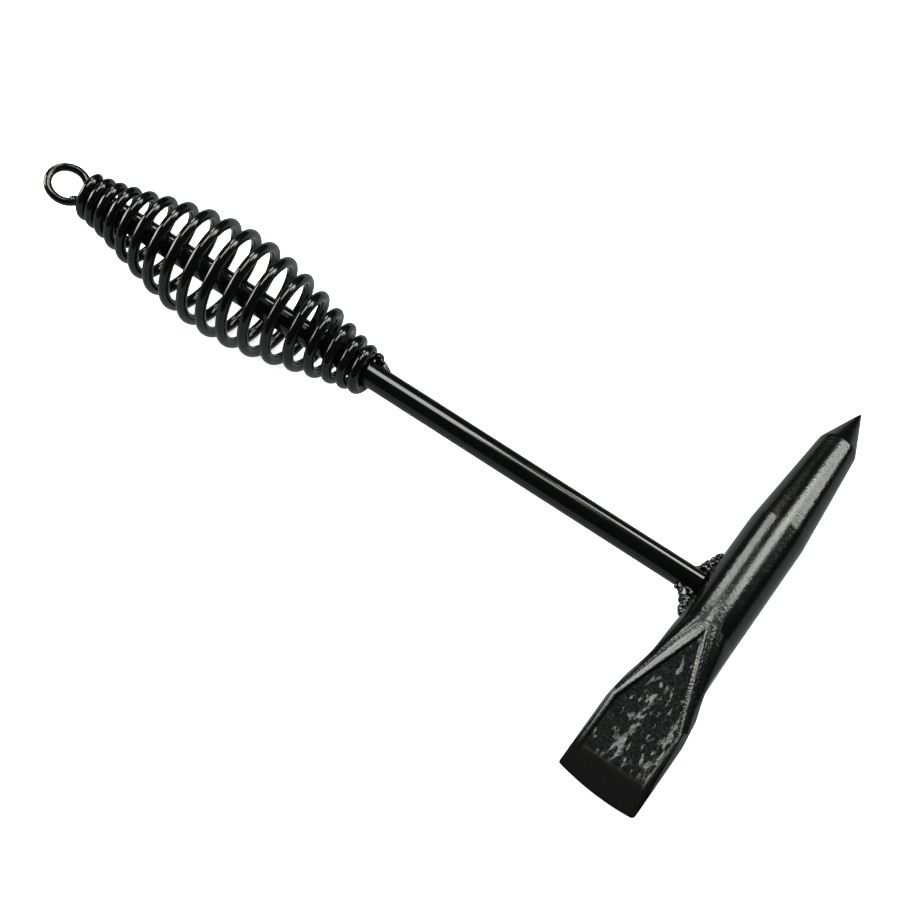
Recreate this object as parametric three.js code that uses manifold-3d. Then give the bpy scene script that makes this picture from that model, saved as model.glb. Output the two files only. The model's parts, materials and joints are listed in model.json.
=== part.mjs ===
// Welder's chipping hammer with an open spring handle: a forged head with a pick
// and a cross chisel, a steel rod butted against its side, a barrel-shaped coil
// spring as the grip, and a wire ring to hang it by. All of it is welded together.
//
// The hammer is drawn in its own frame: the rod lies along X, the head lies along
// Y with the pick at +Y, and both axes cross at the origin. The outer group then
// lays the hammer down the way it rests on a bench. Units are millimetres.

import * as THREE from 'three';
import { ConvexGeometry } from 'three/addons/geometries/ConvexGeometry.js';
import { mergeVertices } from 'three/addons/utils/BufferGeometryUtils.js';
import Module from 'manifold-3d';

const wasm = await Module();
wasm.setup();

// ---- driving dimensions -------------------------------------------------------

const weldGap = 0.3; // clearance between pieces that meet

// handle rod
const rodDiameter = 8;
const rodBack = 239.8; // head axis to the rod's back end

// forged head
const headDiameter = 18.5;
const pickReach = 87; // handle axis to the pick's point
const pickConeLength = 17.2;
const pickConeDiameter = 13;
const pickTaperLength = 40; // from the full bar down to the cone
const pickPointRadius = 0.5;
const chiselReach = 75.2; // handle axis to the middle of the cutting edge
const bladeWidth = 25.5;
const bladePanelInset = 1.4; // from the blade's side to the edge of its flat panel
const bladeSideHeight = 0.35; // share of the blade's thickness that its sides keep
const panelApex = 14.6; // handle axis to where the flat panels begin
const panelShoulder = 48.5; // handle axis to where the blade has its full width
const flareStart = 26; // handle axis to where the bar begins to widen
const bevelLength = 7.4; // ground bevel behind the cutting edge
const bevelThickness = 3.9; // blade thickness where the bevel begins
const edgeThickness = 0.7;
const edgeBow = 1; // how far the middle of the edge stands out beyond its corners
const edgeSlant = 1.8; // how much further the corner away from the rod reaches
const cornerRadius = 1.6;
const joinOverlap = 0.2; // how far the turned bar runs into the drawn-out blade

// spring grip
const wireDiameter = 3.5;
const gripLength = 110; // along the wire's centreline, from end to end
const gripSetback = 0.6; // how far the wire starts short of the rod's back end
const gripBellyDiameter = 36.7; // outside the wire
const gripTurns = 17.85;
const gripStartAngle = 47; // degrees from +Y towards +Z, at the ring's end
const closingTurnsBack = 7.3; // turns over which the ring's end closes up
const closingTurnsFront = 5.9; // and the head's end
const coilGap = 0.3; // between closed turns
const gripClearance = 0.3; // rod to wire at both ends
const gripFullness = 1.42; // a lower value makes a fuller barrel
const gripBow = 0.65; // sideways bow of the barrel towards the pick

// hanging ring
const ringWireDiameter = 2.8;
const ringInnerDiameter = 10;
const ringTilt = 15.5; // degrees by which its free side stands up
const ringOffset = -1; // from the rod's axis towards the pick

// welds
const beadStep = 1.1; // spacing of the overlapping beads in a weld
const rootRadius = 2.9; // bead in the corner between the rod and the head
const toeRadius = 1.4; // last bead at each end of a head weld
const pickWeldOnRod = 5.2; // reach of the weld from the corner, along the rod
const pickWeldOnHead = 9.8; // and along the head
const chiselWeldOnRod = 6.6;
const chiselWeldOnHead = 9;
const gripWeldLength = 4.6; // from the wire's end along the rod
const gripWeldRadius = 1.9;
const gripWeldToeRadius = 1.2;
const ringTackTurn = 30; // degrees round the ring from where it meets the rod
const ringTackRadius = 1.9;
const weldedTurns = 0.8; // turns of the wire at each end that its welds are cut back from

// facets
const barSides = 36;
const rodSides = 28;
const wireSides = 8;
const stepsPerTurn = 21;
const ringSteps = 40;
const ringSides = 12;
const beadSides = 12;

// ---- derived sizes --------------------------------------------------------------

const rodRadius = rodDiameter / 2;
const headRadius = headDiameter / 2;
const wireRadius = wireDiameter / 2;
const ringWireRadius = ringWireDiameter / 2;
const ringRadius = ringInnerDiameter / 2 + ringWireRadius;
const ringReach = ringRadius * Math.cos(THREE.MathUtils.degToRad(ringTilt));
const ringCentre = -(rodBack + weldGap + ringWireRadius + ringReach);
const rodFront = -(headRadius + weldGap);
const gripBack = rodBack - gripSetback;
const gripEndRadius = rodRadius + gripClearance + wireRadius;
const bevelStart = chiselReach - bevelLength;

// ---- solids -----------------------------------------------------------------------

function solid(geometry) {
  const plain = new THREE.BufferGeometry();
  plain.setAttribute('position', geometry.attributes.position.clone());
  plain.setIndex(geometry.index);
  const merged = mergeVertices(plain, 1e-4);
  const index = [];
  for (let i = 0; i < merged.index.count; i += 3) {
    const [a, b, c] = [0, 1, 2].map((corner) => merged.index.getX(i + corner));
    if (a !== b && b !== c && c !== a) index.push(a, b, c);
  }
  return new wasm.Manifold(new wasm.Mesh({
    numProp: 3,
    vertProperties: new Float32Array(merged.attributes.position.array),
    triVerts: new Uint32Array(index),
  }));
}

function geometryOf(manifold) {
  const mesh = manifold.getMesh();
  const geometry = new THREE.BufferGeometry();
  geometry.setAttribute('position', new THREE.BufferAttribute(new Float32Array(mesh.vertProperties), 3));
  geometry.setIndex(new THREE.BufferAttribute(new Uint32Array(mesh.triVerts), 1));
  geometry.computeVertexNormals();
  return geometry;
}

function enamel(colour, roughness) {
  return new THREE.MeshStandardMaterial({ color: colour, roughness, metalness: 0.0 });
}

function piece(name, geometry, material) {
  const mesh = new THREE.Mesh(geometry, material);
  mesh.name = name;
  return mesh;
}

// ---- forged head --------------------------------------------------------------------

// The bar, its taper and the pick's cone, turned about Y.
function pickAndBar(grow) {
  const coneBase = pickReach - pickConeLength;
  const profile = [
    new THREE.Vector2(0, -panelApex - joinOverlap),
    new THREE.Vector2(headRadius + grow, -panelApex - joinOverlap),
    new THREE.Vector2(headRadius + grow, coneBase - pickTaperLength),
    new THREE.Vector2(pickConeDiameter / 2 + grow, coneBase),
    new THREE.Vector2(pickPointRadius + grow, pickReach - pickPointRadius),
    new THREE.Vector2(0, pickReach + grow),
  ];
  return solid(new THREE.LatheGeometry(profile, barSides));
}

// Half the thickness of the flat panels, which run straight from the bar to the bevel.
function panelHalf(reach) {
  const share = (reach - panelApex) / (bevelStart - panelApex);
  return THREE.MathUtils.lerp(headRadius, bevelThickness / 2, share);
}

// One cross section of the blade: two flat panels with sloping sides.
function bladeSection(reach, half, grow) {
  const side = bladeWidth / 2 + grow;
  const panel = side - bladePanelInset;
  const points = [];
  for (const face of [-1, 1]) {
    for (const flank of [-1, 1]) {
      points.push(new THREE.Vector3(flank * panel, -reach, face * (half + grow)));
      points.push(new THREE.Vector3(flank * side, -reach, face * (half * bladeSideHeight + grow)));
    }
  }
  return points;
}

// The round bar drawn out flat: straight lines run from the round section to the
// blade's shoulders, which leaves a flat V-shaped panel on the top and the bottom.
function drawnOutBlade(grow) {
  const points = [];
  for (let i = 0; i < barSides; i += 1) {
    const turn = (i / barSides) * 2 * Math.PI;
    const radius = headRadius + grow;
    points.push(new THREE.Vector3(Math.sin(turn) * radius, -panelApex, Math.cos(turn) * radius));
  }
  points.push(...bladeSection(panelShoulder, panelHalf(panelShoulder), grow));
  points.push(...bladeSection(bevelStart, panelHalf(bevelStart), grow));
  points.push(...bladeSection(chiselReach + edgeSlant + grow, edgeThickness / 2, grow));
  return solid(new ConvexGeometry(points));
}

// The blade seen from above: the waist, the flare and the bowed, slanting edge.
function bladeOutline(grow) {
  const side = bladeWidth / 2 + grow;
  const waist = headRadius + grow;
  const edge = chiselReach + grow;
  const nearCorner = edge - edgeBow - edgeSlant / 2;
  const farCorner = edge - edgeBow + edgeSlant / 2;
  const flare = (flareStart + panelShoulder) / 2;
  const outline = new THREE.Shape();
  outline.moveTo(waist, -panelApex);
  outline.lineTo(waist, -flareStart);
  outline.bezierCurveTo(waist, -flare, side, -flare, side, -panelShoulder);
  outline.lineTo(side, cornerRadius - farCorner);
  outline.quadraticCurveTo(side, -farCorner, side - cornerRadius, -farCorner);
  outline.quadraticCurveTo(0, -edge - edgeBow, cornerRadius - side, -nearCorner);
  outline.quadraticCurveTo(-side, -nearCorner, -side, cornerRadius - nearCorner);
  outline.lineTo(-side, -panelShoulder);
  outline.bezierCurveTo(-side, -flare, -waist, -flare, -waist, -flareStart);
  outline.lineTo(-waist, -panelApex);
  outline.closePath();
  const depth = headDiameter * 2;
  const plan = new THREE.ExtrudeGeometry(outline, { depth, bevelEnabled: false, curveSegments: 8 });
  plan.translate(0, 0, -depth / 2);
  return solid(plan);
}

function headSolid(grow) {
  return pickAndBar(grow).add(drawnOutBlade(grow).intersect(bladeOutline(grow)));
}

// ---- handle rod and ring ------------------------------------------------------------

function rodGeometry(grow) {
  const length = rodBack + rodFront + 2 * grow;
  const rod = new THREE.CylinderGeometry(rodRadius + grow, rodRadius + grow, length, rodSides);
  rod.rotateZ(Math.PI / 2);
  rod.translate((rodFront - rodBack) / 2, 0, 0);
  return rod;
}

function ringGeometry(grow) {
  const ring = new THREE.TorusGeometry(ringRadius, ringWireRadius + grow, ringSides, ringSteps);
  ring.rotateY(THREE.MathUtils.degToRad(ringTilt));
  ring.translate(ringCentre, ringOffset, 0);
  return ring;
}

// A point of the ring's centreline, at an angle from where it meets the rod.
function ringPoint(turn) {
  const point = new THREE.Vector3(ringRadius * Math.cos(turn), ringRadius * Math.sin(turn), 0);
  point.applyAxisAngle(new THREE.Vector3(0, 1, 0), THREE.MathUtils.degToRad(ringTilt));
  return point.add(new THREE.Vector3(ringCentre, ringOffset, 0));
}

// ---- spring grip ----------------------------------------------------------------------

// How far a turn, counted from the ring's end, has opened: 0 closed, 1 fully open.
function openness(turn) {
  const fromBack = THREE.MathUtils.smoothstep(turn, 0, closingTurnsBack);
  const fromFront = THREE.MathUtils.smoothstep(gripTurns - turn, 0, closingTurnsFront);
  return Math.min(fromBack, fromFront);
}

// The distance run along the rod at each small step of the wire. The open pitch is
// whatever fills the grip's length once the closed pitch is set by the wire.
function gripAdvance() {
  const steps = 2000;
  const turnStep = gripTurns / steps;
  const closedPitch = wireDiameter + coilGap;
  let opened = 0;
  for (let i = 0; i < steps; i += 1) opened += openness((i + 0.5) * turnStep) * turnStep;
  const openPitch = closedPitch + (gripLength - closedPitch * gripTurns) / opened;
  const advance = [0];
  for (let i = 0; i < steps; i += 1) {
    const pitch = THREE.MathUtils.lerp(closedPitch, openPitch, openness((i + 0.5) * turnStep));
    advance.push(advance[i] + pitch * turnStep);
  }
  return advance;
}

const advanceTable = gripAdvance();

function barrelRadius(share) {
  const belly = gripBellyDiameter / 2 - wireRadius;
  const swell = Math.max(0, Math.sin(Math.PI * share)) ** gripFullness;
  return THREE.MathUtils.lerp(gripEndRadius, belly, swell);
}

// The wire's centreline between two shares of its turns.
class GripWire extends THREE.Curve {
  constructor(from = 0, to = 1) {
    super();
    this.from = from;
    this.to = to;
    this.arcLengthDivisions = 4000;
  }

  getPoint(t, target = new THREE.Vector3()) {
    const along = THREE.MathUtils.lerp(this.from, this.to, t);
    const slot = along * (advanceTable.length - 1);
    const low = THREE.MathUtils.clamp(Math.floor(slot), 0, advanceTable.length - 2);
    const run = THREE.MathUtils.lerp(advanceTable[low], advanceTable[low + 1], slot - low);
    const share = run / gripLength;
    const angle = THREE.MathUtils.degToRad(gripStartAngle) + along * gripTurns * 2 * Math.PI;
    const radius = barrelRadius(share);
    const bow = gripBow * Math.sin(Math.PI * share);
    return target.set(run - gripBack, radius * Math.cos(angle) + bow, radius * Math.sin(angle));
  }
}

function wireGeometry(curve, turns, radius) {
  const section = new THREE.Shape();
  for (let i = 0; i < wireSides; i += 1) {
    const turn = ((i + 0.5) / wireSides) * 2 * Math.PI;
    const [x, y] = [radius * Math.cos(turn), radius * Math.sin(turn)];
    if (i === 0) section.moveTo(x, y);
    else section.lineTo(x, y);
  }
  section.closePath();
  const steps = Math.round(turns * stepsPerTurn);
  return new THREE.ExtrudeGeometry(section, { steps, extrudePath: curve, bevelEnabled: false });
}

function springGeometry() {
  return wireGeometry(new GripWire(), gripTurns, wireRadius);
}

// The space that the wire takes between two of its turns, with the weld gap round it.
function wireSpace(fromTurn, toTurn) {
  const extra = weldGap / (2 * Math.PI * gripEndRadius);
  const stretch = new GripWire((fromTurn - extra) / gripTurns, (toTurn + extra) / gripTurns);
  return solid(wireGeometry(stretch, toTurn - fromTurn, wireRadius + weldGap));
}

// ---- welds ------------------------------------------------------------------------------

// Beads laid close together from one bead to another, changing size evenly.
function beadRun(from, to) {
  const run = from.centre.distanceTo(to.centre);
  const count = Math.max(1, Math.round(run / beadStep));
  const beads = [];
  for (let i = 0; i <= count; i += 1) {
    const share = i / count;
    beads.push({
      centre: new THREE.Vector3().lerpVectors(from.centre, to.centre, share),
      radius: THREE.MathUtils.lerp(from.radius, to.radius, share),
    });
  }
  return beads;
}

// A weld is a run of overlapping beads, cut back from the pieces that it joins.
function weldSolid(beads, joined) {
  let weld = null;
  for (const bead of beads) {
    const lump = new THREE.SphereGeometry(bead.radius, beadSides, beadSides / 2);
    lump.translate(bead.centre.x, bead.centre.y, bead.centre.z);
    weld = weld === null ? solid(lump) : weld.add(solid(lump));
  }
  for (const neighbour of joined) weld = weld.subtract(neighbour);
  return weld.decompose().reduce((best, part) => (part.volume() > best.volume() ? part : best));
}

// A fillet in the corner between the rod and the head, on one side of the rod. Its
// beads sink into both pieces by about half and are cut back to their surfaces.
function headWeld(side, onRod, onHead) {
  const corner = new THREE.Vector3(-headRadius, side * rodRadius, 0);
  const place = (away, aside) => corner.clone().add(new THREE.Vector3(-away, side * aside, 0));
  const root = { centre: place(rootRadius / 2, rootRadius / 2), radius: rootRadius };
  const rodToe = { centre: place(onRod - toeRadius, 0), radius: toeRadius };
  const headToe = { centre: place(0, onHead - toeRadius), radius: toeRadius };
  const beads = [...beadRun(root, rodToe), ...beadRun(root, headToe)];
  return weldSolid(beads, [headSolid(weldGap), solid(rodGeometry(weldGap))]);
}

// The bead that holds the wire's front end to the rod, on the pick's side.
function gripWeld() {
  const wireEnd = new GripWire().getPoint(1);
  const start = { centre: wireEnd.clone(), radius: gripWeldRadius };
  const toe = {
    centre: new THREE.Vector3(wireEnd.x + gripWeldLength - gripWeldToeRadius, rodRadius, 0),
    radius: gripWeldToeRadius,
  };
  start.centre.z += wireRadius;
  const lastTurn = wireSpace(gripTurns - weldedTurns, gripTurns);
  return weldSolid(beadRun(start, toe), [lastTurn, solid(rodGeometry(weldGap))]);
}

// A tack in the corner between the ring and the rod's end, on one side.
function ringTack(side) {
  const onRing = ringPoint(side * THREE.MathUtils.degToRad(ringTackTurn));
  const onRod = new THREE.Vector3(-rodBack, (side * rodRadius) / 2, onRing.z);
  const beads = beadRun(
    { centre: onRing, radius: ringTackRadius },
    { centre: onRod, radius: ringTackRadius },
  );
  const joined = [wireSpace(0, weldedTurns), solid(ringGeometry(weldGap)), solid(rodGeometry(weldGap))];
  return weldSolid(beads, joined);
}

// ---- the hammer -------------------------------------------------------------------------

const black = 0x0b0d0c;
const pickWeld = headWeld(1, pickWeldOnRod, pickWeldOnHead);
const chiselWeld = headWeld(-1, chiselWeldOnRod, chiselWeldOnHead);
const hammer = new THREE.Group();
hammer.add(
  piece('hammer_head', geometryOf(headSolid(0)), enamel(black, 0.28)),
  piece('handle_rod', rodGeometry(0), enamel(black, 0.2)),
  piece('spring_grip', springGeometry(), enamel(black, 0.16)),
  piece('hang_ring', ringGeometry(0), enamel(black, 0.2)),
  piece('head_weld_pick_side', geometryOf(pickWeld), enamel(black, 0.22)),
  piece('head_weld_chisel_side', geometryOf(chiselWeld), enamel(black, 0.22)),
  piece('grip_weld', geometryOf(gripWeld()), enamel(black, 0.22)),
  piece('ring_weld_pick_side', geometryOf(ringTack(1)), enamel(black, 0.22)),
  piece('ring_weld_chisel_side', geometryOf(ringTack(-1)), enamel(black, 0.22)),
);

// Laid on a bench, the hammer rests on the head's round bar and on the grip's belly.
// The tilt is that of the flat surface that touches both from below.
function restTilt() {
  const wire = new GripWire();
  const samples = Math.round(gripTurns * 90);
  let tilt = 0;
  for (let i = 0; i <= samples; i += 1) {
    const point = wire.getPoint(i / samples);
    const slope = Math.atan2(-point.z, -point.x);
    const bite = Math.asin((headRadius - wireRadius) / Math.hypot(point.x, point.z));
    tilt = Math.max(tilt, slope - bite);
  }
  return tilt;
}

hammer.rotation.y = restTilt();

// The origin is under the middle of the resting hammer, on the bench.
const group = new THREE.Group();
group.add(hammer);
group.updateMatrixWorld(true);
const box = new THREE.Box3().setFromObject(hammer, true);
const middle = box.getCenter(new THREE.Vector3());
hammer.position.set(-middle.x, -middle.y, -box.min.z);

export default group;
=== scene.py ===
"""Looks of a welder's chipping hammer: forged head, rod, spring grip, hanging ring and welds.

Every piece is modelled in the hammer's own frame, where the rod lies along X, the head
lies along Y with the pick at +Y, and both axes cross at the origin. HammerSpace then
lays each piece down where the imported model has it. Lengths are metres.
"""

import json
import logging
import math
from contextlib import contextmanager
from dataclasses import dataclass, field
from enum import Enum
from typing import Callable, Iterable, Iterator, Sequence

import bmesh
import bpy
from mathutils import Matrix, Vector, geometry


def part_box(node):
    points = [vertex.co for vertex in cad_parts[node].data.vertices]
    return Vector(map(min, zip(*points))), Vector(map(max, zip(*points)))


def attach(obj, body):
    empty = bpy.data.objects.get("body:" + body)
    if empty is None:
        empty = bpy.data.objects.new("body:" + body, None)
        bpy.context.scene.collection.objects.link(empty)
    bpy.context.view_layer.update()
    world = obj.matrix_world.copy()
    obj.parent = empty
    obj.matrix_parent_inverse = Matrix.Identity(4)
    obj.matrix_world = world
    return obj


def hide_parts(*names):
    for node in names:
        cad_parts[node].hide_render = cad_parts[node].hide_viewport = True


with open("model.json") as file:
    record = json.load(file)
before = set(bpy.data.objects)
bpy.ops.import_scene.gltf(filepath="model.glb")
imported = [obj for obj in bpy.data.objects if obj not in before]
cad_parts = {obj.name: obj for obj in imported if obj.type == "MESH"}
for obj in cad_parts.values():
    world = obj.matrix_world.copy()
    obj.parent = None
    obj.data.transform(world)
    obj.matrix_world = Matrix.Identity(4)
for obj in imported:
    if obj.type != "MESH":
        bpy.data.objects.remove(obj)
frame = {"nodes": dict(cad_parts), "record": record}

log = logging.getLogger("hammer")

BODY = "root"
MM = 0.001

Object = bpy.types.Object
Point = tuple[float, float, float]


def lerp(start: float, end: float, share: float) -> float:
    """The value a share of the way from start to end."""
    return start + (end - start) * share


def smoothstep(value: float, low: float, high: float) -> float:
    """An even ease from 0 at low to 1 at high."""
    share = min(1.0, max(0.0, (value - low) / (high - low)))
    return share * share * (3 - 2 * share)


def put(name: str, data: bpy.types.ID) -> Object:
    """Puts a mesh, a curve, a light or a camera into the scene as an object.

    Args:
        name: the name of the object.
        data: what it shows.

    Returns:
        The object.
    """
    item = bpy.data.objects.new(name, data)
    bpy.context.scene.collection.objects.link(item)
    return item


# ---- the frame -------------------------------------------------------------------------


class Node(Enum):
    """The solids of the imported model."""

    HEAD = "hammer_head"
    ROD = "handle_rod"
    SPRING = "spring_grip"
    RING = "hang_ring"
    PICK_WELD = "head_weld_pick_side"
    CHISEL_WELD = "head_weld_chisel_side"
    GRIP_WELD = "grip_weld"
    RING_PICK_WELD = "ring_weld_pick_side"
    RING_CHISEL_WELD = "ring_weld_chisel_side"


@dataclass(frozen=True)
class Extent:
    """The box of a solid in the hammer's frame."""

    low: Vector
    high: Vector

    def centre(self) -> Vector:
        """The middle of the box."""
        return (self.low + self.high) / 2

    def half(self) -> Vector:
        """Half the size of the box."""
        return (self.high - self.low) / 2


class HammerSpace:
    """The hammer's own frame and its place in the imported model."""

    def __init__(self, record: dict) -> None:
        """Finds the frame's axes and origin.

        Args:
            record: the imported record. Its two blade panels slope alike, so the difference
                of their axes points up from the hammer.
        """
        axes = {mount["name"]: Vector(mount["axis"]) for mount in record["mounts"]}
        up = (axes["blade_panel_top"] - axes["blade_panel_bottom"]).normalized()
        ahead = Vector((0, 1, 0)).cross(up).normalized()
        head_low, head_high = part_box(Node.HEAD.value)
        rod_low, rod_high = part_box(Node.ROD.value)
        middle = (head_low + head_high) / 2
        origin = Vector((middle.x, (rod_low.y + rod_high.y) / 2, middle.z))
        turn = Matrix((ahead, up.cross(ahead), up)).transposed()
        self.matrix = Matrix.Translation(origin) @ turn.to_4x4()

    def extent(self, node: Node) -> Extent:
        """The box of a solid, measured along the hammer's own axes.

        Args:
            node: the solid to measure.

        Returns:
            The solid's box.
        """
        inverse = self.matrix.inverted()
        points = [inverse @ vertex.co for vertex in frame["nodes"][node.value].data.vertices]
        low = Vector([min(point[axis] for point in points) for axis in range(3)])
        high = Vector([max(point[axis] for point in points) for axis in range(3)])
        return Extent(low, high)

    def lay_down(self, piece: Object, enamel: bpy.types.Material, node: Node, slot: str) -> None:
        """Coats a piece, moves it to its place and hands it to the frame.

        Args:
            piece: a mesh modelled in the hammer's frame, with its object at the origin.
            enamel: its finish.
            node: the solid that it stands for.
            slot: not used.
        """
        piece.data.materials.append(enamel)
        Bench.take(piece)
        piece.matrix_world = self.matrix
        bpy.ops.object.transform_apply(location=True, rotation=True, scale=True)
        piece.name = f"{node.value}_finished"
        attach(piece, BODY)
        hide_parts(node.value)
        log.info("%s: %d faces", piece.name, len(piece.data.polygons))


# ---- hand tools ------------------------------------------------------------------------


class Bench:
    """Hand tools for shaping meshes, each one a small use of Blender's operators."""

    @staticmethod
    def clear() -> None:
        """Leaves nothing selected."""
        if bpy.context.object is not None and bpy.context.object.mode != "OBJECT":
            bpy.ops.object.mode_set(mode="OBJECT")
        bpy.ops.object.select_all(action="DESELECT")

    @staticmethod
    def take(piece: Object) -> Object:
        """Makes a piece the only one selected, and the active one."""
        Bench.clear()
        piece.select_set(True)
        bpy.context.view_layer.objects.active = piece
        return piece

    @staticmethod
    @contextmanager
    def editing(piece: Object) -> Iterator[None]:
        """Opens a piece in edit mode with all of it selected, and closes it again.

        Args:
            piece: the mesh to edit.
        """
        Bench.take(piece)
        bpy.ops.object.mode_set(mode="EDIT")
        bpy.ops.mesh.select_all(action="SELECT")
        yield
        bpy.ops.object.mode_set(mode="OBJECT")

    @staticmethod
    def added(name: str) -> Object:
        """Names the primitive that was just added and settles its place into its mesh."""
        piece = bpy.context.object
        piece.name = name
        bpy.ops.object.transform_apply(location=True, rotation=True, scale=True)
        return piece

    @staticmethod
    def pick_faces(piece: Object, wanted: Callable[[Vector, Vector], bool]) -> None:
        """Goes into edit mode with only some faces selected.

        Args:
            piece: the mesh to edit.
            wanted: says from a face's centre and normal whether it is selected.
        """
        Bench.take(piece)
        bpy.ops.object.mode_set(mode="EDIT")
        bpy.ops.mesh.select_mode(type="FACE")
        bpy.ops.mesh.select_all(action="DESELECT")
        mesh = bmesh.from_edit_mesh(piece.data)
        for face in mesh.faces:
            face.select_set(wanted(face.calc_center_median(), face.normal))
        bmesh.update_edit_mesh(piece.data)

    @staticmethod
    def draw_out(step: Vector, scale: float, centre: Vector) -> None:
        """Extrudes the selected faces and scales the new end.

        Args:
            step: how far the faces move.
            scale: the size of the new end as a share of the old one.
            centre: the point that it is scaled about.
        """
        bpy.ops.mesh.extrude_region_move(TRANSFORM_OT_translate={"value": step})
        bpy.ops.transform.resize(value=(scale, scale, scale), center_override=centre)

    @staticmethod
    def join(pieces: Sequence[Object], name: str) -> Object:
        """Joins meshes into one object.

        Args:
            pieces: the meshes.
            name: the name of the result.

        Returns:
            The joined object.
        """
        Bench.take(pieces[0])
        for piece in pieces:
            piece.select_set(True)
        bpy.ops.object.join()
        pieces[0].name = name
        return pieces[0]

    @staticmethod
    def modify(piece: Object, kind: str, **settings: object) -> Object:
        """Adds a modifier and applies it.

        Args:
            piece: the mesh to change.
            kind: the type of the modifier.
            settings: its settings.

        Returns:
            The same piece.
        """
        Bench.take(piece)
        modifier = piece.modifiers.new(kind.title(), kind)
        for name, value in settings.items():
            setattr(modifier, name, value)
        bpy.ops.object.modifier_apply(modifier=modifier.name)
        return piece

    @staticmethod
    def combine(piece: Object, tool: Object, operation: str) -> Object:
        """Joins, cuts or intersects a piece with a tool, which is used up.

        Args:
            piece: the mesh that is kept.
            tool: the mesh that it is combined with.
            operation: UNION, DIFFERENCE or INTERSECT.

        Returns:
            The same piece.
        """
        Bench.modify(piece, "BOOLEAN", object=tool, operation=operation, solver="EXACT")
        bpy.data.objects.remove(tool)
        return piece

    @staticmethod
    def fuse(piece: Object, voxel: float, smoothing: int) -> Object:
        """Fuses overlapping solids into one even skin and eases its corners.

        Args:
            piece: the mesh to fuse.
            voxel: the size of the new faces.
            smoothing: how many times the skin is smoothed.

        Returns:
            The same piece.
        """
        Bench.modify(piece, "REMESH", mode="VOXEL", voxel_size=voxel, use_smooth_shade=True)
        Bench.modify(piece, "SMOOTH", factor=0.5, iterations=smoothing)
        return piece

    @staticmethod
    def hull(points: Iterable[Vector], name: str) -> Object:
        """The convex solid round a few points.

        Args:
            points: the points to wrap.
            name: the name of the result.

        Returns:
            The solid.
        """
        mesh = bpy.data.meshes.new(name)
        mesh.from_pydata([tuple(point) for point in points], [], [])
        piece = put(name, mesh)
        with Bench.editing(piece):
            bpy.ops.mesh.convex_hull()
            bpy.ops.mesh.normals_make_consistent(inside=False)
        return piece

    @staticmethod
    def tube(points: Sequence[Vector], radii: Sequence[float], sides: int, name: str) -> Object:
        """A round bar along a line of points.

        Args:
            points: the centreline.
            radii: the radius at each point.
            sides: how finely the section is divided.
            name: the name of the result.

        Returns:
            A closed mesh.
        """
        curve = bpy.data.curves.new(name, "CURVE")
        curve.dimensions = "3D"
        curve.bevel_depth = 1.0
        curve.bevel_resolution = sides // 2 - 2
        curve.use_fill_caps = True
        spline = curve.splines.new("POLY")
        spline.points.add(len(points) - 1)
        for knot, point, radius in zip(spline.points, points, radii):
            knot.co = (*point, 1.0)
            knot.radius = radius
        piece = put(name, curve)
        Bench.take(piece)
        bpy.ops.object.convert(target="MESH")
        Bench.close_seams(piece)
        return piece

    @staticmethod
    def close_seams(piece: Object) -> None:
        """Merges doubled points and turns every face outwards."""
        with Bench.editing(piece):
            bpy.ops.mesh.remove_doubles(threshold=1e-7)
            bpy.ops.mesh.normals_make_consistent(inside=False)

    @staticmethod
    def smooth(piece: Object, angle: float) -> None:
        """Shades a piece smooth, except across edges sharper than an angle in degrees."""
        Bench.take(piece)
        bpy.ops.object.shade_smooth_by_angle(angle=math.radians(angle))

    @staticmethod
    def mark(piece: Object, name: str, weight: Callable[[Vector], float]) -> None:
        """Writes a weight on every point of a piece, as a vertex group and an attribute.

        Args:
            piece: the mesh to mark.
            name: the name of the group; the attribute's name adds "_shade".
            weight: the weight at a point, from 0 to 1.
        """
        values = [weight(vertex.co) for vertex in piece.data.vertices]
        group = piece.vertex_groups.new(name=name)
        for index, value in enumerate(values):
            if value > 0:
                group.add([index], value, "REPLACE")
        shade = piece.data.attributes.new(f"{name}_shade", "FLOAT", "POINT")
        shade.data.foreach_set("value", values)

    @staticmethod
    def roughen(
        piece: Object,
        size: float,
        depth: float,
        stretch: Point = (1, 1, 1),
        group: str = "",
        layers: int = 1,
    ) -> None:
        """Raises and lowers a surface unevenly.

        Args:
            piece: the mesh to change.
            size: the width of one unevenness.
            depth: the height from the lowest to the highest place.
            stretch: how much longer the unevenness is along each axis.
            group: the vertex group that limits it, or none.
            layers: how many finer layers it has.
        """
        clouds = bpy.data.textures.new("unevenness", "CLOUDS")
        clouds.noise_scale = size
        clouds.noise_depth = layers
        bpy.ops.object.empty_add(location=(0, 0, 0))
        guide = bpy.context.object
        guide.scale = stretch
        bpy.context.view_layer.update()
        Bench.modify(
            piece,
            "DISPLACE",
            texture=clouds,
            texture_coords="OBJECT",
            texture_coords_object=guide,
            strength=depth,
            mid_level=0.5,
            vertex_group=group,
        )
        bpy.data.objects.remove(guide)
        bpy.data.textures.remove(clouds)


# ---- shader graphs ---------------------------------------------------------------------


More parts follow.
